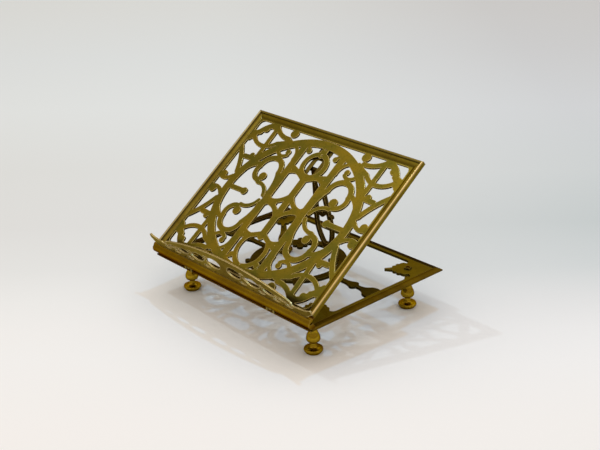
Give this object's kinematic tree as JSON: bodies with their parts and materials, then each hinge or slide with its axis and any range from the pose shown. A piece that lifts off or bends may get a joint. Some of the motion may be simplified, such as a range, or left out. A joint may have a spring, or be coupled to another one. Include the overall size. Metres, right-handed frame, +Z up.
{
  "type": "folding book stand",
  "caption": "Folding table-top book stand: a pierced tilting desk with a low pierced book stop, hinged to an open frame on four turned feet and held up by one strut.",
  "frame": {"origin": "on the table plane, under the middle of the stand's bounding box with the desk raised", "axes": "+X to the right along the front edge as a reader faces it, +Y from the front edge to the rear, +Z up"},
  "size_m": [0.344, 0.2622, 0.2292],
  "materials": {
    "aged_brass": "aged, olive gold",
    "rubbed_brass": "rubbed, warm brown gold",
    "polished_brass": "polished by handling",
    "dark_brass": "dark with age"
  },
  "bodies": {
    "base": {"base_frame": "aged_brass", "cross_piece": "dark_brass", "base_moulding_front": "rubbed_brass", "base_moulding_right": "aged_brass", "base_moulding_rear": "aged_brass", "base_moulding_left": "aged_brass", "foot_left_front": "polished_brass", "foot_left_rear": "polished_brass", "foot_right_front": "polished_brass", "foot_right_rear": "polished_brass", "foot_nuts": "dark_brass", "base_hinge_left": "dark_brass", "base_hinge_right": "dark_brass", "hinge_pin_left": "dark_brass", "hinge_pin_right": "dark_brass", "base_hinge_screws": "dark_brass"},
    "desk": {"desk_panel": "aged_brass", "desk_moulding_left": "aged_brass", "desk_moulding_top": "aged_brass", "desk_moulding_right": "aged_brass", "ledge": "rubbed_brass", "gallery": "aged_brass", "gallery_rivets": "dark_brass", "desk_hinge_left": "dark_brass", "desk_hinge_right": "dark_brass", "desk_hinge_screws": "dark_brass", "strut_clevis": "dark_brass", "strut_clevis_screws": "dark_brass", "strut_pin": "dark_brass"},
    "strut_bar": {"strut": "dark_brass"}
  },
  "joints": [
    {"name": "desk_tilt", "type": "hinge", "parent": "base", "child": "desk", "pos_m": [0, -0.11694, 0.0645], "axis": [1, 0, 0], "range_deg": [-36.6, 0]},
    {"name": "strut_swing", "type": "hinge", "parent": "desk", "child": "strut_bar", "pos_m": [0, 0.04651, 0.18489], "axis": [1, 0, 0], "range_deg": [-62.77, 0]}
  ],
  "couplings": [
    {"joint": "strut_swing", "follows": "desk_tilt", "ratio": 1.7137}
  ]
}
